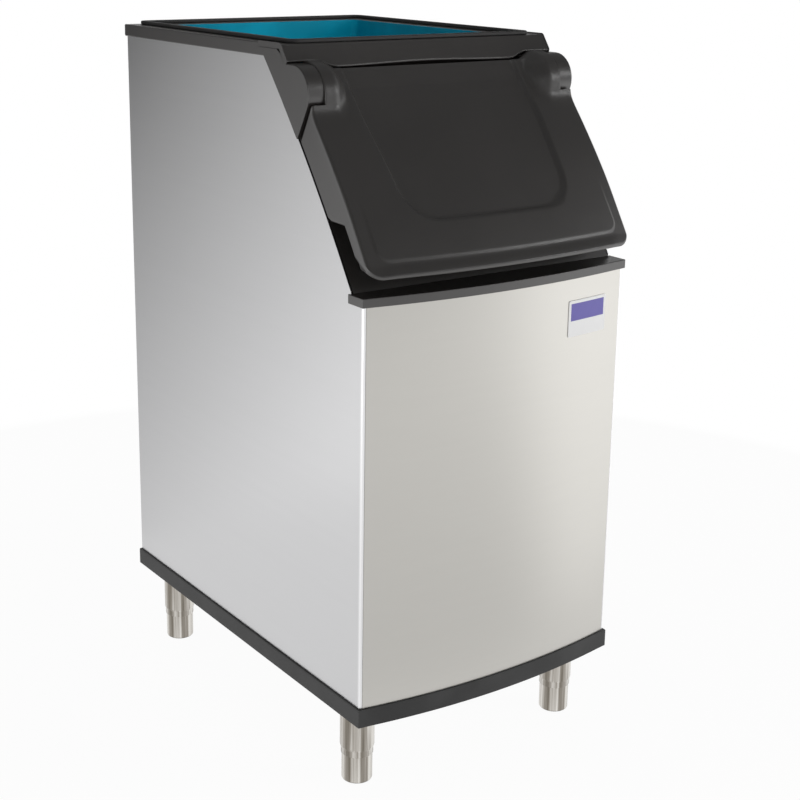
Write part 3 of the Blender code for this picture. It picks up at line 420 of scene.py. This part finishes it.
def faceLevel(x, s):
    # height of the door's face: recessed middle, raised border, step up to the lip
    low = max(s, door["faceStart"])
    narrower = (door["recessTop"] - door["recessFoot"]) * ramp(low, door["recessStart"], door["recessEnd"])
    half = door["recessTop"] - narrower
    inside = boxReach(x, low, half, door["recessEnd"], door["recessCorner"])
    wall, bend = ramp(inside, -door["recessRamp"], door["recessRamp"] * door["recessOut"]), door["recessBend"]
    level = door["depth"] - door["recessDepth"] * (1 - wall ** bend * (bend + 1 - bend * wall))
    beyond = boxReach(x, s, door["creaseX"], door["creaseS"], door["creaseRound"])
    level += door["creaseStep"] * ease(beyond, *door["creaseWidth"]) * ease(s, *door["creaseFade"])
    lip = ease(s, door["lipStart"], door["faceEnd"]) * (1 - ease(abs(x), *door["lipSpan"]))
    return level + (door["noseLevel"] - door["depth"] - door["creaseStep"]) * lip


def hubPoint(x, angle):
    # where the door's top end or its barrel lies at one angle round the hinge
    face = faceLevel(x, door["faceStart"]) - hinge["n"]
    a = min(abs(x), hinge["barrelEnd"])
    edge = door["barrelEdge"]
    gone = edge - sqrt(max(0.0, edge ** 2 - max(0.0, a - hinge["barrelEnd"] + edge) ** 2))
    gone *= ease(angle, *(radians(turn) for turn in door["edgeTurn"]))
    barrel = hinge["barrel"] * ease(a, *door["barrelRise"]) - gone
    slab = face / sin(angle) if sin(angle) > 1e-3 else 1.0
    if cos(angle) < 0:
        slab = softMin(slab, door["endRadius"], door["endBlend"])
    radius = softMax(slab, barrel, door["blend"] * ramp(barrel, 0, door["blendRise"]) + 1e-5)
    return hinge["s"] + radius * cos(angle), hinge["n"] + radius * sin(angle)


def wingAngle():
    # the angle at which the curve has just left the relief line that cuts it beside an ear
    foot, (low, high) = Vector(door["reliefFoot"]), (radians(turn) for turn in door["reliefTurn"])
    way = (Vector(door["reliefHead"]) - foot).normalized()
    return max(angle for angle in steps(low, high, 400)
               if (Vector(hubPoint(door["reliefX"], angle)) - foot).cross(way) > door["reliefRound"])


door["wing"] = wingAngle()


def hubPoints(x):
    # from the back, round the top end or the barrel, to the start of the face
    end = (door["faceStart"], faceLevel(x, door["faceStart"]))
    last = atan2(end[1] - hinge["n"], end[0] - hinge["s"])
    share = int(door["hub"] * 2 / 3)
    tail = [hubPoint(x, angle) for angle in steps(door["wing"], last, door["hub"] - share)][:-1] + [end]
    if abs(x) <= hinge["barrelEnd"] + 1e-7:
        return [hubPoint(x, angle) for angle in steps(radians(door["hubTurn"]), door["wing"], share)][:-1] + tail
    # beside an ear the end is cut back along a relief line, its upper edge rounded
    foot = Vector(door["reliefFoot"])
    way = (Vector(door["reliefHead"]) - foot).normalized()
    high = Vector(tail[0])
    corner = foot + way * (high - foot).dot(way)
    low = corner - way * door["reliefRound"]
    bends = door["reliefBends"]
    bend = [low * (1 - t) ** 2 + corner * 2 * t * (1 - t) + high * t * t for t in steps(0, 1, bends)]
    return along([tuple(foot), tuple(low)], share - bends) + [tuple(p) for p in bend[1:-1]] + tail


def backPoints(x, level):
    # from the lip's rear corner up the back to the hub, by the same number of points in every section
    a, seat, floor = abs(x), door["seat"], door["pocketFloor"]
    arc, turn = door["noseRound"], radians(door["noseTurn"])
    lip = [(door["faceEnd"] + arc * sin(t), level + arc * cos(t)) for t in steps(pi / 2, turn, 6)][1:]
    lip.append((door["lipFoot"], door["lipBack"]))
    inside = a < door["pocketSide"]
    bend, peak = (door["bodyEnd"], door["lipBack"]), (door["bodyEnd"], seat)
    if a > door["notchX"]:
        bend = (door["notchHead"], door["lipBack"])
        peak = door["notchFoot"] if inside else (door["notchEdge"], seat)
    walk = along([lip[-1], bend], 6)[1:] + along([bend, peak], 6)[1:]
    end = door["reliefFoot"] if a > hinge["barrelEnd"] + 1e-7 else hubPoints(x)[0]
    if not inside:
        return lip, walk + along([peak, end], 25)[1:]
    low = door["pocketEnd"] if a < door["pocketX"] else door["notchFoot"][0]
    high = door["pocketHead"] if a < door["cornerX"] else door["cornerHead"]
    pocket = [(low, peak[1]), (low, floor), (high, floor), (high, seat), end]
    walk.append(pocket[0])
    for start, stop, count in zip(pocket, pocket[1:], (2, 14, 2, 6)):
        walk += along([start, stop], count)[1:]
    return lip, walk


def doorSection(x):
    hub = hubPoints(x)
    face = [(s, faceLevel(x, s)) for s in steps(door["faceStart"], door["faceEnd"], door["rows"])][1:]
    arc, level = door["noseRound"], face[-1][1] - door["noseRound"]
    nose = [(door["faceEnd"] + arc * sin(t), level + arc * cos(t)) for t in steps(0, pi / 2, 12)][1:]
    lip, back = backPoints(x, level)
    ring = hub + face + nose + lip + back
    a = abs(x)
    tuck = door["corner"] * (1 - sqrt(max(0.0, 1 - ramp(a, door["half"] - door["corner"], door["half"]) ** 2)))
    ring = [(s - tuck * ease(s, *door["cornerS"]), n) for s, n in ring]
    over = ramp(a, door["half"] - door["sideRound"], door["half"])
    inset = door["sideRound"] * (1 - sqrt(max(0.0, 1 - over ** 2)))
    if inset:
        ring = insetRing(ring, inset)
    return [shapedSlope(x, s, n) for s, n in ring]


def insetRing(ring, inset):
    # the closed ring (first point repeated last) moved inwards; points that would cross are drawn to the corner
    count, moved = len(ring) - 1, []
    for i in range(count):
        before, after = i - 1, (i + 1) % count
        while before > i - 5 and hypot(ring[i][0] - ring[before][0], ring[i][1] - ring[before][1]) < 2e-4:
            before -= 1
        while hypot(ring[i][0] - ring[after][0], ring[i][1] - ring[after][1]) < 2e-4:
            after = (after + 1) % count
        tangent = Vector(ring[after]) - Vector(ring[before])
        tangent.normalize()
        moved.append((ring[i][0] + tangent.y * inset, ring[i][1] - tangent.x * inset))
    start, finish, place = np.array(ring[:-1]), np.array(ring[1:]), np.array(moved)
    span = finish - start
    length = np.maximum((span ** 2).sum(1), 1e-14)
    share = np.clip(((place[:, None] - start) * span).sum(2) / length, 0, 1)
    reach = np.sqrt(((place[:, None] - start - share[..., None] * span) ** 2).sum(2)).min(1)
    good = [i for i in range(count) if reach[i] > inset * 0.985]
    for a, b in zip(good, good[1:] + [good[0] + count]):
        for i in range(a + 1, b):
            part = (i - a) / (b - a)
            moved[i % count] = tuple(place[a] * (1 - part) + place[b % count] * part)
    return moved + moved[:1]


def doorStations():
    # close together where the section changes: round a barrel, at the pocket's and notch's sides and at the rim
    near = 1e-6
    right = steps(0, 0.152, 19) + steps(0.155, 0.167, 4) + steps(0.169, 0.196, 18) + steps(0.199, 0.238, 13)
    right += [0.2400, 0.2415 - near, 0.2415 + near, 0.2425, 0.2435, 0.245 - near, 0.245 + near, 0.2455 - near,
              0.2455 + near, 0.2464, 0.2472, 0.2479, 0.2484, 0.2488, 0.249, 0.249 + 3 * near,
              0.2496, 0.2505, 0.252, 0.254, 0.2565, 0.259, 0.2615, 0.264, 0.2663, 0.2685, 0.2705, 0.2714, 0.2721,
              0.2725 - near, 0.2725 + near, 0.2731, 0.2738, 0.2744, 0.2749, 0.2753, 0.2756, 0.27585, 0.27597, 0.276]
    return mirrored(right)


def doorShell():
    sections = [doorSection(x) for x in doorStations()]
    return makePiece("doorShell", loft(sections), charcoal, "door", ["door_shell"], 42)


doorShell()
print("door shell lofted")

# leaning cover over the hinge
header = {"cornerY": 0.241, "rearY": 0.311, "lean": 0.945, "wall": 0.0055, "round": 0.006,
          "hem": 0.027, "dip": 0.010, "arch": 0.0032, "bead": 0.0026, "barrelRoot": 0.184, "shoulder": 0.226,
          "endRound": 0.004}


def hemHeight(x):
    a, top = abs(x), cabinet["trimTop"] - header["hem"] - header["dip"]
    if a > header["barrelRoot"]:
        share = ramp(a, header["barrelRoot"], header["shoulder"])
        return top + header["dip"] * (1 - (1 + cos(pi * share)) / 2)
    return top + header["arch"] * (1 + cos(pi * a / header["barrelRoot"])) / 2


def headerSection(x):
    lean, top = header["lean"], cabinet["trimTop"]
    way, inwards = Vector((-cos(lean), -sin(lean))), Vector((sin(lean), -cos(lean)))
    corner = Vector((header["cornerY"], top))
    foot = corner + way * ((top - hemHeight(x) - header["bead"]) / sin(lean))
    centre = foot + inwards * header["wall"] / 2
    innerCorner = corner + Vector((header["wall"] / tan((pi - lean) / 2), -header["wall"]))
    crown = rounded([(header["rearY"], top, 0), (*corner, header["round"]), (*foot, 0)], 8)
    ring = along(crown[:2], 8) + crown[2:10] + along(crown[9:11], 14)[1:]
    half = header["wall"] / 2
    ring += [tuple(centre + (way * sin(t) - inwards * cos(t)) * half) for t in steps(0, pi, 10)][1:]
    innerFoot = centre + inwards * half
    ring += along([tuple(innerFoot), tuple(innerCorner), (header["rearY"], top - header["wall"])], 16)[1:]
    ring.append(ring[0])
    over = ramp(abs(x), cabinet["halfWidth"] - header["endRound"], cabinet["halfWidth"])
    inset = min(half * 0.9, header["endRound"] * (1 - sqrt(max(0.0, 1 - over ** 2))))
    if inset:
        ring = insetRing(ring, inset)
    return [Vector((x, y + yShift, z)) for y, z in ring]


def headerCover():
    half = cabinet["halfWidth"]
    right = steps(0, half - header["endRound"], 62)
    right += [half - header["endRound"] * (1 - sin(t)) for t in steps(0, pi / 2, 7)][1:]
    sections = [headerSection(x) for x in mirrored(right)]
    return makePiece("headerCover", loft(sections), charcoal, "cabinet", ["header"], 40)


headerCover()
print("header cover lofted")

# screwed legs with a sleeve, a stem and a pad
leg = {"x": 0.228, "frontY": 0.075, "rearY": 0.741, "top": 0.1517, "sleeve": 0.0305, "sleeveFoot": 0.0515,
       "step": 0.0625, "taper": 0.0045, "bore": 0.0276, "boreTop": 0.108, "lipWall": 0.0011,
       "stem": 0.0273, "stemTop": 0.105, "stemRound": 0.004, "stemLow": 0.001,
       "pad": 0.0215, "padTop": 0.003, "socket": 0.0033, "chamfer": 0.0008, "edge": 0.001,
       "stud": 0.008, "studTop": 0.1755, "studTurns": 12, "pitch": 0.00175, "threadDepth": 0.0007,
       "flangeEdge": ((0.0012, 0), (0.0003, 0.0004), (0, 0.0014))}


def legPieces():
    places = {"FrontLeft": (-leg["x"], leg["frontY"]), "FrontRight": (leg["x"], leg["frontY"]),
              "RearLeft": (-leg["x"], leg["rearY"]), "RearRight": (leg["x"], leg["rearY"])}
    top, bore, cut, chamfer = leg["top"], leg["bore"], leg["edge"], leg["chamfer"]
    for words, (x, y) in places.items():
        place = words.replace("Left", "_left").replace("Right", "_right").lower()
        y += yShift
        sleeve = leg["sleeve"]
        stud = [(0, leg["studTop"]), (leg["stud"] - cut, leg["studTop"]), (leg["stud"], leg["studTop"] - cut)]
        for i in range(leg["studTurns"]):
            z = leg["studTop"] - cut - leg["pitch"] * i
            stud += [(leg["stud"] - leg["threadDepth"], z - leg["pitch"] / 2), (leg["stud"], z - leg["pitch"])]
        flange = [(leg["stud"], top)] + [(sleeve - inwards, top - under) for inwards, under in leg["flangeEdge"]]
        low, step = leg["sleeveFoot"], leg["step"]
        # each corner of the sleeve's outline is drawn by two points close together
        wall = [(sleeve, step + leg["taper"] + 0.0012), (sleeve - 0.0003, step + leg["taper"]),
                (bore + leg["lipWall"] + 0.0002, step + 0.0006), (bore + leg["lipWall"], step),
                (bore + leg["lipWall"], low + 0.0014), (bore + 0.0001, low), (bore, low + 0.0004),
                (bore, leg["boreTop"]), (0, leg["boreTop"])]
        makePiece("leg" + words, turnedShape(stud + flange + wall, x, y), legSteel, "cabinet", ["leg_" + place], 40)
        stem, arc, under, socket = leg["stem"], leg["stemRound"], leg["stemLow"], leg["socket"]
        ring = [(0, leg["stemTop"]), (stem - chamfer, leg["stemTop"]), (stem, leg["stemTop"] - chamfer)]
        ring += [(stem - arc + arc * cos(t), under + arc - arc * sin(t)) for t in steps(0, pi / 2, 8)]
        ring += [(leg["pad"] + 0.0003, under), (leg["pad"] + 0.0003, socket), (0, socket)]
        makePiece("foot" + words, turnedShape(ring, x, y), legSteel, "foot_" + place, ["foot_" + place], 40)
        pad, high = leg["pad"], leg["padTop"]
        ring = [(0, high), (pad, high), (pad, chamfer), (pad - chamfer, 0), (0, 0)]
        makePiece("footPad" + words, turnedShape(ring, x, y), blackRubber, "foot_" + place, ["foot_pad_" + place], 40)


legPieces()
print("legs turned")

# copies of the plainer nodes, their edges eased
band = {"sillLift": 0.003, "skirtDrop": 0.005, "skirtWidth": 0.010, "near": 0.001}


def slimSill(bm):
    # the sill band's lower edge raised
    low = min(v.co.z for v in bm.verts)
    for vert in bm.verts:
        if vert.co.z < low + band["near"]:
            vert.co.z += band["sillLift"]


def deepSkirt(bm):
    # the tray's rim reaches a little lower than its floor
    near = band["near"]
    low = min(v.co.z for v in bm.verts) + near
    under = [f for f in bm.faces if f.normal.z < -0.9 and f.calc_center_median().z < low]
    bmesh.ops.inset_region(bm, faces=under, thickness=band["skirtWidth"], use_even_offset=True)
    for vert in bm.verts:
        x, y, z = vert.co
        front = yShift - frontBulge(x) - cabinet["overhang"]
        outer = abs(x) > cabinet["halfWidth"] - near or y > yShift + cabinet["depth"] - near or y < front + near
        if outer and z < low:
            vert.co.z -= band["skirtDrop"]


for side in ("left", "right"):
    softened(side + "_side_panel", sideSteel, "cabinet", 0, limit=60)
    softened(side + "_top_trim", charcoal, "cabinet", 0.0010, 2, 36, 50)
    softened(side + "_hinge_pin", zincFastener, "cabinet", 0.0006)
    softened(side + "_hinge_bush", whitePlastic, "door", 0.0004)
    softened(side + "_thumb_screw", zincFastener, "cabinet", 0.0008)
softened("front_panel", frontSteel, "cabinet")
softened("rear_panel", zincSheet, "cabinet")
softened("base_tray", trayPlastic, "cabinet", 0.0026, 3, shape=deepSkirt)
softened("sill_band", charcoal, "cabinet", 0.0016, shape=slimSill)
softened("rear_top_trim", charcoal, "cabinet", 0.0015)
softened("rim_gasket", blackRubber, "cabinet", 0.0022)
softened("liner", tealPlastic, "cabinet", 0)
softened("foam_jacket", foamFill, "cabinet")
softened("door_foam", foamFill, "door")
softened("door_frame", charcoal, "cabinet")
softened("door_inner_panel", whitePlastic, "door")
softened("door_seal", blackRubber, "door", 0.0012, 2)
softened("ice_deflector", whitePlastic, "cabinet", 0.0006, 2)
softened("drain_fitting", whitePlastic, "cabinet", 0.0006, 2)
softened("drain_nut", whitePlastic, "cabinet", 0.0008, 2)
softened("drain_strainer", zincFastener, "cabinet")
for corner in ("front_left", "front_right", "rear_left", "rear_right"):
    softened("leg_plate_" + corner, zincFastener, "cabinet", 0.0005, 2)
print("plainer nodes eased")

# bare plate on the front, upper right
badge = {"left": 0.1365, "right": 0.2315, "low": 0.770, "high": 0.834, "thick": 0.0012, "corner": 0.003,
         "border": 0.0055, "fieldLow": 0.798, "blur": 0.0002, "gap": 0.0001}


def badgePlate():
    left, right, low, high = (badge[key] for key in ("left", "right", "low", "high"))
    corners = ((left, low), (right, low), (right, high), (left, high))
    outline = rounded([(*corner, badge["corner"]) for corner in corners], 5)
    bm = plate(outline, "Y", -badge["gap"], -badge["thick"])
    for cut in steps(left, right, 10)[1:-1]:  # so that it can follow the panel's bow
        everything = bm.verts[:] + bm.edges[:] + bm.faces[:]
        bmesh.ops.bisect_plane(bm, geom=everything, plane_co=(cut, 0, 0), plane_no=(1, 0, 0))
    for vert in bm.verts:
        vert.co.y += yShift - frontBulge(vert.co.x)
    finish = Finish("enamelPlate", "stainless", Roughness=0.35)
    across, up = finish.axis("X"), finish.axis("Z")
    left, right, high = left + badge["border"], right - badge["border"], high - badge["border"]
    low, blur = badge["fieldLow"], badge["blur"]
    field = across.between(left - blur, left) * (1 - across.between(right, right + blur))
    field = field * up.between(low - blur, low) * (1 - up.between(high, high + blur))
    violet = finish.mix(finish.noise(40, 2), tint(96, 88, 170), tint(104, 96, 178))
    finish.vary(Base_Color=finish.mix(field, tint(240, 240, 240), violet))
    finish.bump(finish.noise(260, 2), 0.06, 0.0002)
    return makePiece("badgePlate", bm, finish, "cabinet")


badgePlate()
print("badge plate made")

# camera, from the photograph's perspective
view = {"place": (-1.570, -2.277, 1.448), "yaw": 34.66, "pitch": 14.53, "roll": 0.65, "lens": 68.13,
        "shift": (0.0375, -0.1)}


def makeCamera():
    yaw, pitch, roll = (radians(view[key]) for key in ("yaw", "pitch", "roll"))
    forward = Vector((sin(yaw) * cos(pitch), cos(yaw) * cos(pitch), -sin(pitch)))
    right = Vector((cos(yaw), -sin(yaw), 0))
    upward = right.cross(forward)
    across = right * cos(roll) + upward * sin(roll)
    above = upward * cos(roll) - right * sin(roll)
    camera = bpy.data.objects.new("camera", bpy.data.cameras.new("camera"))
    turn = Matrix((across, above, -forward)).transposed().to_4x4()
    camera.matrix_world = Matrix.Translation(view["place"]) @ turn
    camera.data.lens = view["lens"]
    camera.data.sensor_width = 36
    camera.data.shift_x, camera.data.shift_y = view["shift"]
    bpy.context.scene.collection.objects.link(camera)
    bpy.context.scene.camera = camera


makeCamera()

# studio: pale floor, white surround, soft lamps, and graded cards that only reflections see,
# apart from the ceiling, which bounced light sees too
studio = {"ambient": 0.66, "floor": tint(252, 252, 252), "floorGlow": 0.96, "floorClear": (0.9, 1.9),
          "cardFade": 0.75, "cardRange": (0.05, 1.6),
          "lamps": {"left": ((-3.2, -0.4, 0.7), (0, 0, 0.7), 1.6, 10, 180),
                    "frontRight": ((2.7, -3.0, 1.7), (0, 0, 0.8), 1.6, 42, 180),
                    "overhead": ((-0.3, 0.3, 3.6), (0, 0, 0.6), 2.4, 8, 180),
                    "mouth": ((0.0, -0.25, 2.2), (0, 0.34, 1.05), 0.4, 0.54, 40)},
          "cards": {"ceiling": (((-5, -5, 2.6), (5, -5, 2.6), (5, 5, 2.6), (-5, 5, 2.6)),
                                (0.18, 0, 0, 0), (0, 0, 9, 10), (9, 10)),
                    "leftBack": (((-3.8, 0.85, 0.003), (-0.30, 0.85, 0.003), (-0.30, 2.35, 2.4), (-3.8, 2.35, 2.4)),
                                 (0.57, -0.62, 0, -0.80), (0, 0, 9, 10), (9, 10)),
                    "front": (((-1.4, -0.72, 0.003), (4.2, -0.72, 0.003), (4.2, -3.55, 2.7), (-1.4, -3.55, 2.7)),
                              (0.80, 0, 0, 0.30), (0.50, -0.55, 0.30, 0.80), (0.62, 0.95))}}


def stageShader(tree, mixed):
    # links a share that is 1 where camera, glossy and transmission rays arrive to a socket
    path = tree.nodes.new("ShaderNodeLightPath")
    last = path.outputs["Is Camera Ray"]
    for name in ("Is Glossy Ray", "Is Transmission Ray"):
        either = tree.nodes.new("ShaderNodeMath")
        either.operation = "MAXIMUM"
        tree.links.new(last, either.inputs[0])
        tree.links.new(path.outputs[name], either.inputs[1])
        last = either.outputs[0]
    tree.links.new(last, mixed)


def makeWorld():
    world = bpy.data.worlds.new("surround")
    bpy.context.scene.world = world
    world.use_nodes = True
    tree = world.node_tree
    tree.nodes["Background"].inputs["Color"].default_value = (1, 1, 1, 1)
    strength = tree.nodes.new("ShaderNodeMapRange")
    strength.inputs["To Min"].default_value = studio["ambient"]
    strength.inputs["To Max"].default_value = 1.0
    stageShader(tree, strength.inputs["Value"])
    tree.links.new(strength.outputs[0], tree.nodes["Background"].inputs["Strength"])


def stagePiece(name, corners, material):
    bm = bmesh.new()
    bm.faces.new([bm.verts.new(corner) for corner in corners])
    mesh = bpy.data.meshes.new(name)
    bm.to_mesh(mesh)
    bm.free()
    mesh.materials.append(material)
    piece = bpy.data.objects.new(name, mesh)
    bpy.context.scene.collection.objects.link(piece)
    return piece


def makeFloor():
    paint = Finish("paleFloor", None, Base_Color=studio["floor"], Roughness=0.9)
    tree = paint.tree
    glow = tree.nodes.new("ShaderNodeEmission")
    share = tree.nodes.new("ShaderNodeMapRange")
    share.inputs["To Max"].default_value = studio["floorGlow"]
    stageShader(tree, share.inputs["Value"])
    blend = tree.nodes.new("ShaderNodeMixShader")
    tree.links.new(paint.shader.outputs[0], blend.inputs[1])
    tree.links.new(glow.outputs[0], blend.inputs[2])
    tree.links.new(blend.outputs[0], tree.nodes["Material Output"].inputs["Surface"])
    # far from the object the floor is as bright as the surround, so no horizon shows
    near, far = studio["floorClear"]
    away = (paint.axis("X") * paint.axis("X") + paint.axis("Y") * paint.axis("Y")).between(near ** 2, far ** 2)
    clear = paint.node("ShaderNodeMath", {"operation": "MAXIMUM"}, {0: Wire(paint, share.outputs[0]), 1: away})
    tree.links.new(clear.socket, blend.inputs[0])
    stagePiece("floor", [(-9, -9, 0), (9, -9, 0), (9, 9, 0), (-9, 9, 0)], paint.material)


def makeCards():
    # each card glows by an even slope along x, y and z, a rise along x that leans with height, and a fade upwards
    for name, (corners, (level, alongX, alongY, alongZ), (rise, lean, start, end), fade) in studio["cards"].items():
        card = Finish(name + "Card", None, Base_Color=(0, 0, 0, 1), Roughness=1.0, Specular_IOR_Level=0.0)
        x, y, z = (card.axis(axis) for axis in "XYZ")
        shade = level + alongX * x + alongY * y + alongZ * z + rise * (x + lean * z).between(start, end)
        shade = shade * (1 - studio["cardFade"] * z.between(*fade))
        low, high = studio["cardRange"]
        shade = card.node("ShaderNodeClamp", {}, {"Value": shade, "Min": low, "Max": high})
        grey = card.node("ShaderNodeCombineColor", {}, {"Red": shade, "Green": shade, "Blue": shade})
        card.vary(Emission_Color=grey)
        card.shader.inputs["Emission Strength"].default_value = 1.0
        piece = stagePiece(name + "Card", corners, card.material)
        piece.visible_camera = False
        piece.visible_shadow = False
        piece.visible_transmission = False
        piece.visible_diffuse = name == "ceiling"


def makeLamps():
    for name, (place, target, size, power, spread) in studio["lamps"].items():
        light = bpy.data.lights.new(name, "AREA")
        light.shape = "DISK"
        light.size = size
        light.energy = power
        light.spread = radians(spread)
        lamp = bpy.data.objects.new(name, light)
        lamp.location = place
        lamp.rotation_euler = (Vector(target) - Vector(place)).to_track_quat("-Z", "Y").to_euler()
        bpy.context.scene.collection.objects.link(lamp)


makeWorld()
makeFloor()
makeCards()
makeLamps()
bpy.context.scene.view_settings.view_transform = "Standard"
print("studio set")
